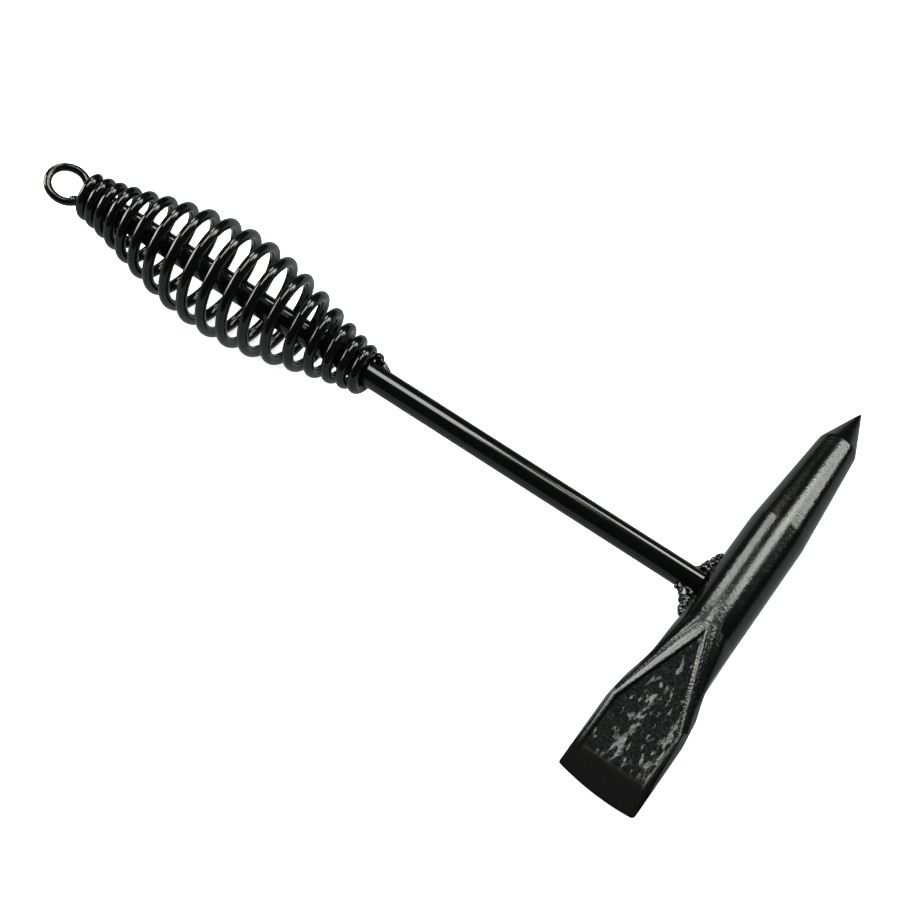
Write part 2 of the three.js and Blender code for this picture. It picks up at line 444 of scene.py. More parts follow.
class Signal:
    """A number that varies over a surface. Sums and products of it add Math nodes."""

    def __init__(self, graph: "Graph", socket: bpy.types.NodeSocket) -> None:
        """Wraps an output socket of a graph."""
        self.graph = graph
        self.socket = socket

    def _math(self, operation: str, first: object, second: object) -> "Signal":
        """Adds one Math node and wraps its result."""
        node = self.graph.add("ShaderNodeMath", {"operation": operation}, {0: first, 1: second})
        return Signal(self.graph, node.outputs[0])

    def __add__(self, other: object) -> "Signal":
        """The sum."""
        return self._math("ADD", self, other)

    def __radd__(self, other: object) -> "Signal":
        """The sum, with the number first."""
        return self._math("ADD", other, self)

    def __rsub__(self, other: object) -> "Signal":
        """The difference, with the number first."""
        return self._math("SUBTRACT", other, self)

    def __mul__(self, other: object) -> "Signal":
        """The product."""
        return self._math("MULTIPLY", self, other)

    def __rmul__(self, other: object) -> "Signal":
        """The product, with the number first."""
        return self._math("MULTIPLY", other, self)

    def ramp(self, low: float, high: float) -> "Signal":
        """An ease from 0 at low to 1 at high."""
        node = self.graph.add(
            "ShaderNodeMapRange",
            {"interpolation_type": "SMOOTHSTEP"},
            {"Value": self, "From Min": low, "From Max": high},
        )
        return Signal(self.graph, node.outputs["Result"])


class Graph:
    """The node tree of one material."""

    def __init__(self, name: str) -> None:
        """Starts a material with only its output node."""
        self.material = bpy.data.materials.new(name)
        self.material.use_nodes = True
        self.tree = self.material.node_tree
        self.tree.nodes.clear()
        self.output = self.tree.nodes.new("ShaderNodeOutputMaterial")

    def show(self, shader: bpy.types.NodeSocket) -> bpy.types.Material:
        """Ends the tree with a shader and gives its material."""
        self.tree.links.new(shader, self.output.inputs["Surface"])
        return self.material

    def add(self, kind: str, settings: dict, inputs: dict) -> bpy.types.Node:
        """Adds a node.

        Args:
            kind: the type of the node.
            settings: its own settings, which are set first.
            inputs: the value or the link of each socket that is not left alone.

        Returns:
            The node.
        """
        node = self.tree.nodes.new(kind)
        for name, value in settings.items():
            setattr(node, name, value)
        for name, value in inputs.items():
            if isinstance(value, Signal):
                value = value.socket
            if isinstance(value, bpy.types.NodeSocket):
                self.tree.links.new(value, node.inputs[name])
            else:
                node.inputs[name].default_value = value
        return node

    def place(self, stretch: Point = (1, 1, 1)) -> bpy.types.NodeSocket:
        """Object coordinates, drawn out along each axis.

        Args:
            stretch: how much longer a pattern becomes along each axis.

        Returns:
            The coordinates' socket.
        """
        source = self.add("ShaderNodeTexCoord", {}, {})
        scale = tuple(1 / share for share in stretch)
        inputs = {"Vector": source.outputs["Object"], "Scale": scale}
        return self.add("ShaderNodeMapping", {}, inputs).outputs["Vector"]

    def noise(self, size: float, detail: float = 2, stretch: Point = (1, 1, 1)) -> Signal:
        """Cloudy noise from 0 to 1.

        Args:
            size: the width of one cloud.
            detail: how many finer layers it has.
            stretch: how much longer the clouds are along each axis.

        Returns:
            The noise.
        """
        inputs = {"Vector": self.place(stretch), "Scale": 1 / size, "Detail": detail}
        node = self.add("ShaderNodeTexNoise", {}, inputs)
        return Signal(self, node.outputs["Fac"])

    def attribute(self, name: str) -> Signal:
        """A weight that is written on the piece."""
        node = self.add("ShaderNodeAttribute", {"attribute_name": name}, {})
        return Signal(self, node.outputs["Fac"])

    def blend(self, share: Signal, low: Point, high: Point) -> bpy.types.NodeSocket:
        """A colour between two, by a share.

        Args:
            share: 0 for the first colour and 1 for the second.
            low: the first colour.
            high: the second colour.

        Returns:
            The colour's socket.
        """
        inputs = {"Factor": share, 6: (*low, 1), 7: (*high, 1)}
        node = self.add("ShaderNodeMix", {"data_type": "RGBA"}, inputs)
        return node.outputs[2]

    def relief(self, height: Signal) -> bpy.types.NodeSocket:
        """The normal of a surface with a small relief, whose height is in metres."""
        node = self.add("ShaderNodeBump", {}, {"Strength": 1.0, "Distance": 1.0, "Height": height})
        return node.outputs["Normal"]


@dataclass(frozen=True)
class Enamel:
    """Gloss black enamel, which lies smooth or follows the metal under it.

    The peel is the film's own fine waviness, and the grain is that of the metal.
    """

    name: str
    colour: Point = (0.0012, 0.0016, 0.0014)
    # dust_and_reflection is the lighter green-grey that the colour share blends toward. On every piece
    # it is random dust tone, and on the head's panels it is painted reflection of dim greenish
    # surroundings.
    dust_and_reflection: Point = (0.0060, 0.0084, 0.0078)
    roughness: tuple[float, float] = (0.10, 0.17)
    peel_size: float = 1.3 * MM
    peel_depth: float = 0.006 * MM
    grain_size: float = 0.35 * MM
    grain_depth: float = 0.0008 * MM
    cloud_size: float = 9 * MM
    streak_size: float = 1.1 * MM
    dust: float = 0.4

    def surface(self, graph: Graph) -> tuple[Signal, Signal, Signal]:
        """The film's colour share, roughness and relief.

        Args:
            graph: the material that they are made in.

        Returns:
            The colour share, the roughness and the height.
        """
        clouds = graph.noise(self.cloud_size, 3)
        streaks = graph.noise(self.streak_size, 3)
        rough = clouds * (self.roughness[1] - self.roughness[0]) + self.roughness[0]
        peel = graph.noise(self.peel_size, 1) * self.peel_depth
        grain = graph.noise(self.grain_size, 2) * self.grain_depth
        return clouds * streaks * self.dust, rough, peel + grain

    def film(self, graph: Graph, gloss: bpy.types.NodeSocket) -> bpy.types.NodeSocket:
        """The whole film's shader, which is the gloss alone."""
        return gloss

    def make(self) -> bpy.types.Material:
        """Makes the material.

        Returns:
            The material.
        """
        graph = Graph(self.name)
        shade, rough, height = self.surface(graph)
        gloss = graph.add(
            "ShaderNodeBsdfPrincipled",
            {},
            {
                "Base Color": graph.blend(shade, self.colour, self.dust_and_reflection),
                "Roughness": rough,
                "IOR": 1.5,
                "Specular Tint": (0.94, 1.0, 0.97, 1),
                "Normal": graph.relief(height),
            },
        )
        return graph.show(self.film(graph, gloss.outputs["BSDF"]))


@dataclass(frozen=True)
class ForgedEnamel(Enamel):
    """Enamel over the forged head: combed on the bar, and on the panels dry between pools.

    The three shades are written on the head: its panels, where their enamel has pooled, and the ground
    bevel, which is bare of combing and pools and dry all over. The panels are tinted a lighter
    green-grey, in their gloss and more in their dry film: painted reflection of dim greenish
    surroundings.
    """

    panel: str = "panel_shade"
    pooled: str = "pooled_shade"
    ground: str = "ground_shade"
    panel_size: float = 0.9 * MM
    panel_depth: float = 0.04 * MM
    panel_clouds: float = 3 * MM
    comb_size: float = 0.8 * MM
    comb_depth: float = 0.06 * MM
    comb_loss: float = 0.7
    # The dry film's lighter green-grey is painted reflection of dim greenish surroundings, mottled at
    # random.
    dry_reflection_colour: Point = (0.0066, 0.0120, 0.0104)
    dry_roughness: float = 0.6
    dry_gloss: float = 0.05
    dry_edge: float = 0.7
    scale_size: float = 0.8 * MM
    pool_size: float = 1.3 * MM
    pool_stretch: Point = (1, 2.8, 1)
    pool_edge: tuple[float, float] = (0.64, 0.70)
    pool_gain: float = 0.22

    def surface(self, graph: Graph) -> tuple[Signal, Signal, Signal]:
        """The film's colour share, roughness and relief.

        Args:
            graph: the material that they are made in.

        Returns:
            The colour share, the roughness and the height.
        """
        shade, rough, height = super().surface(graph)
        panel = graph.attribute(self.panel)
        comb = graph.noise(self.comb_size, 2) * self.comb_depth
        pits = graph.noise(self.panel_size, 3) * self.panel_depth
        # The panels take a cloudy share of the lighter green-grey: painted reflection of dim greenish
        # surroundings.
        cloudy = graph.noise(self.panel_clouds, 3).ramp(0.35, 0.65)
        combed = (1 - panel * self.comb_loss) * (1 - graph.attribute(self.ground))
        return shade + panel * (0.1 + 0.6 * cloudy), rough, height + comb * combed + panel * pits

    def dry(self, graph: Graph) -> Signal:
        """Where a panel's enamel has sunk into the scale, and has not pooled on it.

        Args:
            graph: the material that it is made in.

        Returns:
            The share of dry film.
        """
        drops = graph.noise(self.pool_size, 3, self.pool_stretch)
        pools = (drops + graph.attribute(self.pooled) * self.pool_gain).ramp(*self.pool_edge)
        ground = graph.attribute(self.ground)
        panel = graph.attribute(self.panel).ramp(0.0, self.dry_edge)
        return panel * (1 - pools) * (1 - ground) + ground

    def film(self, graph: Graph, gloss: bpy.types.NodeSocket) -> bpy.types.NodeSocket:
        """The whole film's shader: a matt film where it is dry, and gloss elsewhere; the matt film's
        mottled green-grey colour is painted reflection.

        Args:
            graph: the material that it is made in.
            gloss: the gloss film's shader.

        Returns:
            The mixed shader's socket.
        """
        # Mottled painted reflection: the dry film goes from black toward the lighter green-grey, except
        # on the ground bevel.
        mottle = graph.noise(self.scale_size, 3).ramp(0.4, 0.7) * (1 - graph.attribute(self.ground))
        inputs = {
            "Base Color": graph.blend(mottle, self.colour, self.dry_reflection_colour),
            "Roughness": self.dry_roughness,
            "Specular IOR Level": self.dry_gloss,
        }
        matt = graph.add("ShaderNodeBsdfPrincipled", {}, inputs)
        films = {0: self.dry(graph), 1: gloss, 2: matt.outputs["BSDF"]}
        return graph.add("ShaderNodeMixShader", {}, films).outputs[0]


# ---- the pieces ------------------------------------------------------------------------


@dataclass
class HammerHead:
    """The forged head: a round bar drawn to a pick one way and to a wide chisel the other.

    A reach is a distance from the rod's axis along the head. A face is the lower or the
    upper side of the blade, and a flank is one of its narrow sides: each is -1 or 1.
    """

    space: HammerSpace
    slot: str = "head_enamel"
    bar_sides: int = 128
    cone_length: float = 17.2 * MM
    cone_radius: float = 6.5 * MM
    taper_length: float = 40 * MM
    taper_steps: int = 8
    point_radius: float = 0.45 * MM
    point_flat: float = 0.3
    panel_inset: float = 1.4 * MM
    side_share: float = 0.35
    panel_apex: float = 14.6 * MM
    shoulder: float = 48.5 * MM
    flare_start: float = 26 * MM
    bevel_length: float = 7.4 * MM
    bevel_half: float = 1.95 * MM
    edge_half: float = 0.35 * MM
    edge_bow: float = 1.0 * MM
    edge_slant: float = 1.8 * MM
    edge_swell: float = 0.2 * MM
    corner: float = 1.6 * MM
    edge_spare: float = 1.7 * MM
    lip_width: float = 1.0 * MM
    lip_rise: float = 0.10 * MM
    lip_foot: float = 0.9 * MM
    lip_crease: float = 0.14 * MM
    facet_start: float = 9.5 * MM
    facet_spread: float = 2.2 * MM
    facet_flare: float = 1.1
    facet_crease: float = 0.1 * MM
    facet_panel: float = 0.45
    sink: float = 0.55 * MM
    neck_half: float = 12 * MM
    voxel: float = 0.34 * MM
    bend_steps: int = 24
    corner_steps: int = 12
    radius: float = field(init=False)
    width_half: float = field(init=False)
    pick_reach: float = field(init=False)
    chisel_reach: float = field(init=False)
    bevel_start: float = field(init=False)

    def __post_init__(self) -> None:
        """Takes the head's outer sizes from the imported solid."""
        size = self.space.extent(Node.HEAD)
        self.radius = size.half().z
        self.width_half = size.half().x
        self.pick_reach = size.high.y
        self.chisel_reach = -size.low.y - self.edge_swell
        self.bevel_start = self.chisel_reach - self.bevel_length

    def bar_and_pick(self) -> Object:
        """Turns the bar, its taper and the pick's cone.

        Returns:
            A closed mesh.
        """
        overlap = 0.5 * MM
        cone_base = self.pick_reach - self.cone_length
        taper_start = cone_base - self.taper_length
        length = taper_start + self.panel_apex + overlap
        middle = (taper_start - self.panel_apex - overlap) / 2
        bpy.ops.mesh.primitive_cylinder_add(
            vertices=self.bar_sides,
            radius=self.radius,
            depth=length,
            location=(0, middle, 0),
            rotation=(-math.pi / 2, 0, 0),
        )
        bar = Bench.added("bar")
        Bench.pick_faces(bar, lambda centre, normal: normal.y > 0.9)
        radius = self.radius
        at = taper_start
        for step in range(1, self.taper_steps + 1):
            share = step / self.taper_steps
            wanted = lerp(self.radius, self.cone_radius, share)
            at = taper_start + self.taper_length * share
            stretch = Vector((0, self.taper_length / self.taper_steps, 0))
            Bench.draw_out(stretch, wanted / radius, Vector((0, at, 0)))
            radius = wanted
        tip = self.pick_reach - self.point_radius
        Bench.draw_out(Vector((0, tip - at, 0)), self.point_radius / radius, Vector((0, tip, 0)))
        end = Vector((0, self.pick_reach, 0))
        Bench.draw_out(Vector((0, self.point_radius, 0)), self.point_flat, end)
        bpy.ops.object.mode_set(mode="OBJECT")
        return bar

    def panel_half(self, reach: float) -> float:
        """Half the head's thickness on its flat panels, at a reach."""
        share = (reach - self.panel_apex) / (self.bevel_start - self.panel_apex)
        return lerp(self.radius, self.bevel_half, share)

    def section(self, reach: float, half: float) -> list[Vector]:
        """One cross section of the blade.

        Args:
            reach: its reach.
            half: half its thickness between the flat panels.

        Returns:
            The eight corners.
        """
        corners = []
        for face in (-1, 1):
            for flank in (-1, 1):
                panel = flank * (self.width_half - self.panel_inset)
                corners.append(Vector((panel, -reach, face * half)))
                corners.append(Vector((flank * self.width_half, -reach, face * half * self.side_share)))
        return corners

    def drawn_out_blade(self) -> Object:
        """Draws the round bar out to the flat blade.

        Returns:
            A closed mesh with a V-shaped flat panel on its top and bottom.
        """
        edge, sharp = self.chisel_reach + self.edge_slant, self.edge_half / 6
        points = self.section(self.shoulder, self.panel_half(self.shoulder))
        points += self.section(self.bevel_start, self.bevel_half)
        points += self.section(edge, self.edge_half)
        points += self.section(edge + self.edge_spare, sharp)
        for side in range(self.bar_sides):
            turn = side / self.bar_sides * math.tau
            across, rise = math.sin(turn) * self.radius, math.cos(turn) * self.radius
            points.append(Vector((across, -self.panel_apex, rise)))
        return Bench.hull(points, "blade")

    def cutting_edge(self) -> list[Vector]:
        """The blade's end seen from above, from the far side round to the near one.

        Returns:
            The points of the two corners and of the bowed edge between them.
        """
        side, corner = self.width_half, self.corner
        tip = self.chisel_reach - self.edge_bow
        near, far = tip - self.edge_slant / 2, tip + self.edge_slant / 2
        middle = (0, -self.chisel_reach - self.edge_bow)
        sharp = corner / 3
        outline = self.rounded((side, corner - far), (side, -far), (side - corner, -far))
        outline += self.rounded((side - corner, -far), middle, (sharp - side, -near))
        outline += self.rounded((sharp - side, -near), (-side, -near), (-side, sharp - near))
        return outline

    def plan(self) -> Object:
        """The blade seen from above, as a deep block that trims it.

        Returns:
            A closed mesh, longer than the blade by what its end loses when it is fused.
        """
        side, waist = self.width_half, self.radius
        flare = (self.flare_start + self.shoulder) / 2
        end = self.chisel_reach + self.edge_slant + self.edge_spare
        start, leave = (waist, -self.flare_start), (waist, -flare)
        arrive, shoulder = (side, -flare), (side, -self.shoulder)
        outline = [Vector((waist, -self.panel_apex)), Vector(start)]
        outline += self.bend(start, leave, arrive, shoulder, self.bend_steps)
        outline += [Vector((side, -end)), Vector((-side, -end))]
        mirrored = [(-point[0], point[1]) for point in (shoulder, arrive, leave, start)]
        outline += self.bend(*mirrored, self.bend_steps)
        outline.append(Vector((-waist, -self.panel_apex)))
        return self.block(outline, "plan")

    def trimmings(self) -> Object:
        """The metal round the blade's end that is ground away from it.

        Returns:
            A closed mesh.
        """
        spare = 6 * MM
        side, end = self.width_half + spare, -self.chisel_reach - spare
        start = -self.bevel_start
        outline = [Vector((side, start)), Vector((self.width_half, start))]
        outline += self.cutting_edge()
        outline += [Vector((-self.width_half, start)), Vector((-side, start))]
        outline += [Vector((-side, end)), Vector((side, end))]
        return self.block(outline, "trimmings")

    def block(self, outline: Sequence[Vector], name: str) -> Object:
        """A deep upright block.

        Args:
            outline: its outline seen from above.
            name: the name of the result.

        Returns:
            A closed mesh.
        """
        depth = self.radius * 2
        mesh = bpy.data.meshes.new(name)
        corners = [(point.x, point.y, -depth) for point in outline]
        mesh.from_pydata(corners, [], [list(range(len(corners)))])
        block = put(name, mesh)
        rise = {"value": (0, 0, 2 * depth)}
        with Bench.editing(block):
            bpy.ops.mesh.remove_doubles(threshold=1e-6)
            bpy.ops.mesh.extrude_region_move(TRANSFORM_OT_translate=rise)
        Bench.close_seams(block)
        return block

    @staticmethod
    def bend(
        start: Sequence[float],
        leave: Sequence[float],
        arrive: Sequence[float],
        end: Sequence[float],
        steps: int,
    ) -> list[Vector]:
        """Points along a smooth bend from start to end, led by two handles."""
        knots = [Vector((*knot, 0)) for knot in (start, leave, arrive, end)]
        return [point.xy for point in geometry.interpolate_bezier(*knots, steps)]

    def rounded(self, start: tuple, control: tuple, end: tuple) -> list[Vector]:
        """Points along a corner that is rounded towards one control point.

        Args:
            start: where the corner starts.
            control: the point that it would reach if it were sharp.
            end: where it ends.

        Returns:
            The points.
        """
        first, middle, last = Vector(start), Vector(control), Vector(end)
        leave, arrive = first.lerp(middle, 2 / 3), last.lerp(middle, 2 / 3)
        return self.bend(first, leave, arrive, last, self.corner_steps)

    def panel_corner(self, flank: int, face: int, reach: float, inset: float, lift: float) -> Vector:
        """A point on the border of a flat panel.

        Args:
            flank: the side of the blade.
            face: the lower or the upper panel.
            reach: the point's reach.
            inset: how far it lies inside the panel's edge.
            lift: how far it stands above the panel.

        Returns:
            The point.
        """
        spread = (reach - self.panel_apex) / (self.shoulder - self.panel_apex)
        edge = (self.width_half - self.panel_inset) * min(1.0, spread)
        across = max(0.0, edge - inset)
        height = self.panel_half(reach) - self.drawn(reach) + lift
        return Vector((flank * across, -reach, face * height))

    def hollow(self, face: int) -> Object:
        """The shallow sinking that is cut into a flat panel.

        Args:
            face: the lower or the upper panel.

        Returns:
            A closed mesh.
        """
        inset, clear = 0.8 * MM, 4 * MM
        tip, end = self.panel_apex + 3 * MM, self.bevel_start - 1.5 * MM
        depths = ((tip, 0.3), (self.shoulder, 1.0), (end, 0.4), (self.bevel_start, 0.0))
        points = []
        for flank in (-1, 1):
            for reach, share in depths:
                points.append(self.panel_corner(flank, face, reach, inset, -self.sink * share))
                points.append(self.panel_corner(flank, face, reach, inset, clear))
        return Bench.hull(points, "hollow")

    def lip(self, flank: int, face: int) -> Object:
        """The raised flat lip along one border of a panel, with its wall down to the panel.

        Args:
            flank: the side of the blade.
            face: the lower or the upper panel.

        Returns:
            A closed mesh.
        """
        outside, wall = 0.25 * MM, self.lip_width + self.lip_foot
        root = (self.lip_width / 2, -2.5 * self.sink)
        profile = (
            (-outside, -self.sink),
            (0, self.lip_rise),
            (self.lip_width, self.lip_rise),
            (wall, -self.sink),
            root,
        )
        tip, neck_end = self.panel_apex + 0.4 * MM, self.panel_apex + self.neck_half
        end = self.bevel_start + 0.3 * MM
        steps = 4
        neck = [lerp(tip, neck_end, step / steps) for step in range(steps + 1)]
        lengths = []
        for bends in ((*neck, self.shoulder), (self.shoulder, end)):
            points = [
                self.panel_corner(flank, face, reach, inset, lift)
                for reach in bends
                for inset, lift in profile
            ]
            lengths.append(Bench.hull(points, "lip"))
        lip = Bench.combine(lengths[0], lengths[1], "UNION")
        return Bench.modify(
            lip,
            "BEVEL",
            width=self.lip_crease,
            segments=3,
            limit_method="ANGLE",
            angle_limit=math.radians(20),
        )

    def facet(self, flank: int, face: int) -> Object:
        """The narrow facet between a lip and the blade's round side.

        Args:
            flank: the side of the blade.
            face: its lower or its upper side.

        Returns:
            A closed mesh.
        """
        steps = 8
        end, end_spread = self.shoulder - 2 * MM, self.width_half - 0.7 * MM
        buried = Vector((flank * 1 * MM, 0, face * 1.5 * MM))
        overlap = 0.2 * MM
        points = []
        for step in range(steps + 1):
            share = step / steps
            reach = lerp(self.facet_start, end, share)
            spread = lerp(self.facet_spread, end_spread, share**self.facet_flare)
            outer = self.on_flank(flank * spread, reach, face)
            points.append(outer)
            points.append(outer - buried)
            if reach > self.panel_apex:
                points.append(self.panel_corner(flank, face, reach, overlap, 0))
        facet = Bench.hull(points, "facet")
        Bench.modify(
            facet,
            "BEVEL",
            width=self.facet_crease,
            segments=2,
            limit_method="ANGLE",
            angle_limit=0.3,
        )
        # The facet takes part of the panels' weight, and so part of their painted green-grey reflection
        # tint.
        Bench.mark(facet, "panel", lambda point: self.facet_panel)
        return facet

    def on_flank(self, across: float, reach: float, face: int) -> Vector:
        """A point on the ruled side between the round bar and the blade's shoulder.

        Args:
            across: its distance from the middle.
            reach: its reach.
            face: the lower or the upper side.

        Returns:
            The point, just above the surface.
        """
        share = max(0.0, (reach - self.panel_apex) / (self.shoulder - self.panel_apex))
        corner = self.width_half - self.panel_inset
        start = (abs(across) - corner * share) / max(1e-6, 1 - share)
        start = min(max(start, 0), self.radius)
        rise = math.sqrt(max(0.0, self.radius**2 - start**2))
        height = lerp(rise, self.panel_half(self.shoulder), share)
        stands = 0.03 * MM
        return Vector((across, -reach, face * (height - self.drawn(reach) + stands)))

    def on_panel(self, point: Vector) -> float:
        """How fully a point lies on one of the hammered panels.

        Args:
            point: the point to judge.

        Returns:
            The weight, from 0 to 1.
        """
        edge_start, edge_end, bevel_fade, waist = 0.6 * MM, 1.8 * MM, 4 * MM, 1 * MM
        reach = -point.y
        if reach < self.panel_apex or abs(point.z) < waist:
            return 0.0
        spread = min(1.0, (reach - self.panel_apex) / (self.shoulder - self.panel_apex))
        edge = (self.width_half - self.panel_inset) * spread
        inside = smoothstep(edge - abs(point.x), edge_start, edge_end)
        return inside * smoothstep(self.bevel_start - reach, 0, bevel_fade)

    def on_bevel(self, point: Vector) -> float:
        """How fully a point lies on the bevel that is ground behind the cutting edge."""
        fade_start, fade_end = 5 * MM, 0.8 * MM
        return smoothstep(-point.y, self.bevel_start - fade_start, self.bevel_start - fade_end)

    def pooled(self, point: Vector) -> float:
        """How thickly the enamel has pooled at a point of a panel.

        It pools along the border away from the handle and along a ridge by the middle, and
        more of it lies towards the bevel.

        Args:
            point: the point to judge.

        Returns:
            The weight, from 0 to 1.
        """
        everywhere, on_border, on_ridge = 0.25, 0.6, 0.4
        border_start, border_end = 4.5 * MM, 9 * MM
        ridge_side, ridge_start, ridge_end = 1.5 * MM, 0.5 * MM, 3.5 * MM
        along = smoothstep(-point.y, self.panel_apex + 12 * MM, self.shoulder + 6 * MM)
        border = smoothstep(point.x, border_start, border_end)
        ridge = 1 - smoothstep(abs(point.x + ridge_side), ridge_start, ridge_end)
        return min(1.0, everywhere + (on_border * border + on_ridge * ridge) * along)

    def drawn(self, reach: float) -> float:
        """How far the bar is drawn down near the panels' tips, so that it bends evenly.

        Args:
            reach: the reach of the place.

        Returns:
            The depth, which is greatest at the tips.
        """
        start, end = self.panel_apex - self.neck_half, self.panel_apex + self.neck_half
        if not start < reach < end:
            return 0.0
        slope = (self.radius - self.bevel_half) / (self.bevel_start - self.panel_apex)
        eased = (min(reach, 2 * self.panel_apex - reach) - start) / self.neck_half
        return slope * self.neck_half / 4 * eased**2

    def on_neck(self, point: Vector) -> float:
        """The share of a millimetre that a point of the neck is drawn down."""
        return self.drawn(-point.y) / MM * min(1.0, abs(point.z) / self.radius)

    @staticmethod
    def hammer_marks(head: Object) -> None:
        """Leaves long dents and finer pits on the panels, and slow waves on all of the head."""
        dent_size, pit_size, wave_size = 3.4 * MM, 1.5 * MM, 14 * MM
        dent_depth, pit_depth, wave_depth = 0.12 * MM, 0.06 * MM, 0.08 * MM
        Bench.roughen(head, dent_size, dent_depth, (1, 3.5, 1), "panel")
        Bench.roughen(head, pit_size, pit_depth, (1, 1.8, 1), "panel")
        Bench.roughen(head, wave_size, wave_depth, (1, 3, 1))

    def build(self) -> Object:
        """Forges the head.

        Returns:
            The finished mesh, in the hammer's frame.
        """
        bar = self.bar_and_pick()
        blade = Bench.combine(self.drawn_out_blade(), self.plan(), "INTERSECT")
        for face in (-1, 1):
            Bench.combine(blade, self.hollow(face), "DIFFERENCE")
        head = Bench.join([bar, blade], "head")
        Bench.fuse(head, self.voxel, 5)
        Bench.combine(head, self.trimmings(), "DIFFERENCE")
        Bench.mark(head, "neck", self.on_neck)
        # The panel weight drives the hammer marks and the panels' painted green-grey reflection tint.
        Bench.mark(head, "panel", self.on_panel)
        Bench.modify(head, "DISPLACE", strength=-MM, mid_level=0, vertex_group="neck")
        self.hammer_marks(head)
        sides = [(flank, face) for face in (-1, 1) for flank in (-1, 1)]
        trims = [self.lip(*side) for side in sides] + [self.facet(*side) for side in sides]
        Bench.join([head, *trims], "head")
        Bench.mark(head, "pooled", self.pooled)
        Bench.mark(head, "ground", self.on_bevel)
        Bench.smooth(head, 28)
        return head

    def finish(self) -> None:
        """Builds the head, gives it its enamel and lays it down."""
        enamel = ForgedEnamel("head enamel", roughness=(0.12, 0.2))
        self.space.lay_down(self.build(), enamel.make(), Node.HEAD, self.slot)


@dataclass
class HandleRod:
    """The steel rod, butted flat against the head's bar."""

    space: HammerSpace
    slot: str = "rod_enamel"
    sides: int = 96
    end_bevel: float = 0.35 * MM
    bite: float = 0.05 * MM
    front: float = field(init=False)
    back: float = field(init=False)
    radius: float = field(init=False)

    def __post_init__(self) -> None:
        """Takes the rod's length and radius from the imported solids."""
        size = self.space.extent(Node.ROD)
        self.radius = size.half().y
        self.back = size.low.x
        self.front = self.bite - self.space.extent(Node.HEAD).half().z

    def finish(self) -> None:
        """Builds the rod, gives it its enamel and lays it down."""
        bpy.ops.mesh.primitive_cylinder_add(
            vertices=self.sides,
            radius=self.radius,
            depth=self.front - self.back,
            location=((self.front + self.back) / 2, 0, 0),
            rotation=(0, math.pi / 2, 0),
        )
        rod = Bench.added("rod")
        Bench.modify(rod, "BEVEL", width=self.end_bevel, segments=3, limit_method="ANGLE")
        Bench.smooth(rod, 40)
        enamel = Enamel(
            "rod enamel", roughness=(0.10, 0.16), peel_size=2.2 * MM, peel_depth=0.008 * MM
        )
        self.space.lay_down(rod, enamel.make(), Node.ROD, self.slot)


@dataclass
class SpringGrip:
    """The barrel spring: one wire wound round the rod, closed at both ends."""

    space: HammerSpace
    slot: str = "spring_enamel"
    wire_radius: float = 1.75 * MM
    length: float = 110 * MM
    setback: float = 0.6 * MM
    belly: float = 16.6 * MM
    turns: float = 17.85
    start_angle: float = 47
    closing_back: float = 7.3
    closing_front: float = 5.9
    coil_gap: float = 0.3 * MM
    clearance: float = 0.3 * MM
    fullness: float = 1.42
    bow: float = 0.65 * MM
    steps_per_turn: int = 64
    sides: int = 20
    end_bevel: float = 0.3 * MM
    back: float = field(init=False)
    end_radius: float = field(init=False)
    runs: list[float] = field(init=False)

    def __post_init__(self) -> None:
        """Places the spring on the rod and works out its pitch."""
        rod = self.space.extent(Node.ROD)
        self.back = -rod.low.x - self.setback
        self.end_radius = rod.half().y + self.clearance + self.wire_radius
        self.runs = self.advance()

    def openness(self, turn: float) -> float:
        """How far a turn has opened, from 0 for closed to 1."""
        back = smoothstep(turn, 0, self.closing_back)
        front = smoothstep(self.turns - turn, 0, self.closing_front)
        return min(back, front)

    def advance(self) -> list[float]:
        """The distance run along the rod at each small step of the wire.

        Returns:
            The distances, from 0 to the grip's length.
        """
        steps = 2000
        step = self.turns / steps
        opened = [self.openness((index + 0.5) * step) for index in range(steps)]
        closed_pitch = 2 * self.wire_radius + self.coil_gap
        spare = self.length - closed_pitch * self.turns
        open_pitch = closed_pitch + spare / (sum(opened) * step)
        runs = [0.0]
        for share in opened:
            runs.append(runs[-1] + lerp(closed_pitch, open_pitch, share) * step)
        return runs

    def point(self, along: float) -> Vector:
        """A point of the wire's centreline.

        Args:
            along: how far along the wire it lies, from 0 at the ring's end to 1.

        Returns:
            The point.
        """
        slot = along * (len(self.runs) - 1)
        low = min(max(int(slot), 0), len(self.runs) - 2)
        run = lerp(self.runs[low], self.runs[low + 1], slot - low)
        swell = max(0.0, math.sin(math.pi * run / self.length))
        radius = lerp(self.end_radius, self.belly, swell**self.fullness)
        angle = math.radians(self.start_angle) + along * self.turns * math.tau
        across = radius * math.cos(angle) + self.bow * swell
        return Vector((run - self.back, across, radius * math.sin(angle)))

    def finish(self) -> None:
        """Winds the wire, gives it its enamel and lays it down."""
        steps = round(self.turns * self.steps_per_turn)
        line = [self.point(step / steps) for step in range(steps + 1)]
        spring = Bench.tube(line, [self.wire_radius] * len(line), self.sides, "spring")
        Bench.modify(
            spring,
            "BEVEL",
            width=self.end_bevel,
            segments=2,
            limit_method="ANGLE",
            angle_limit=math.radians(60),
        )
        Bench.smooth(spring, 50)
        enamel = Enamel("spring enamel", roughness=(0.08, 0.14), peel_depth=0.005 * MM)
        self.space.lay_down(spring, enamel.make(), Node.SPRING, self.slot)


